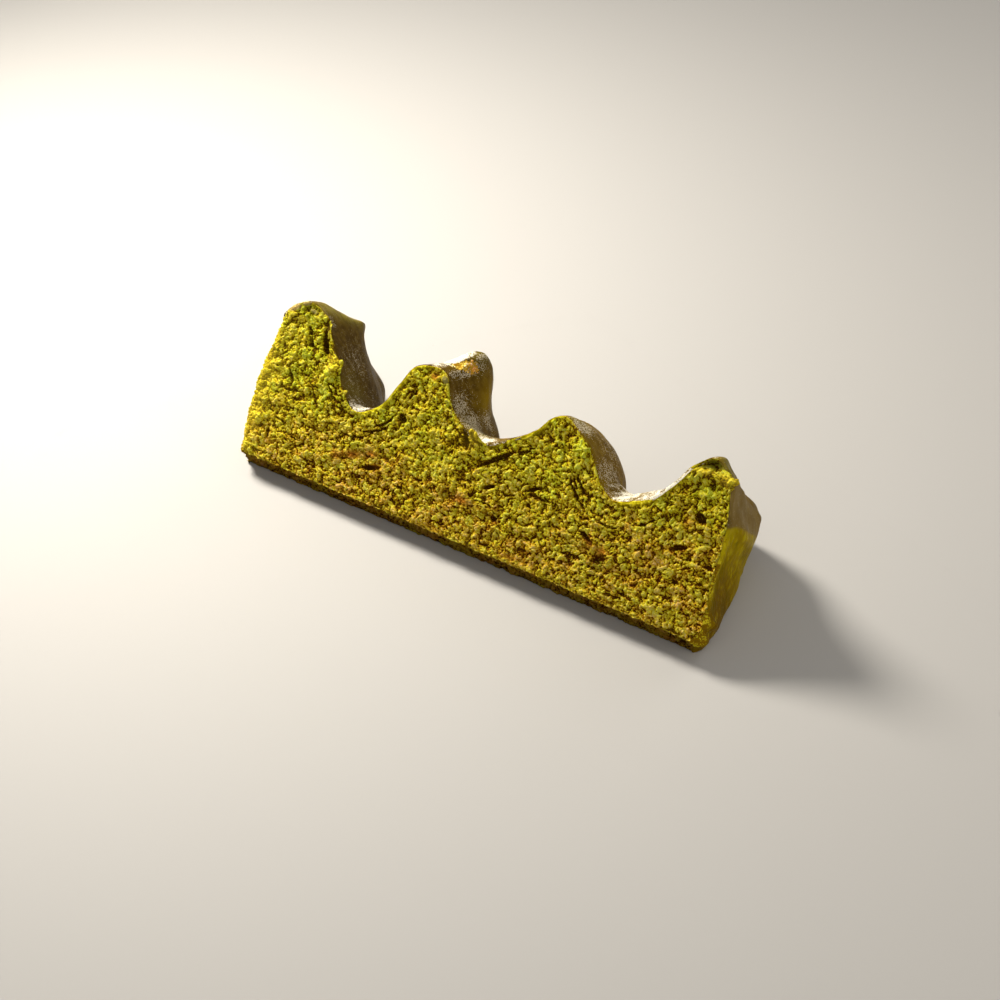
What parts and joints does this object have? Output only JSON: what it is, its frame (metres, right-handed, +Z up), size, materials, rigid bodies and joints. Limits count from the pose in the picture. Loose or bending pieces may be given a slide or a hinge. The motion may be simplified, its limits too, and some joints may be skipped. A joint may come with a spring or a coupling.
{
  "type": "matcha baumkuchen stick",
  "caption": "Green tea baumkuchen cut lengthwise into a stick, with a wavy ridged glazed edge, porous cut faces and one glazed end.",
  "frame": {"origin": "middle of the base, under the middle of the bounding box", "axes": "+X along the log's axis towards the glazed end, +Y towards the ridged skin, +Z up from the cut face it rests on"},
  "size_m": [0.1416, 0.0484, 0.043],
  "materials": {
    "crumb": "porous baked crumb, moist and matte, yellow green with browner layers",
    "glaze": "thin set sugar glaze, satin, grey olive with a whitish sugar bloom"
  },
  "bodies": {
    "root": {"cake": "crumb"}
  },
  "joints": []
}
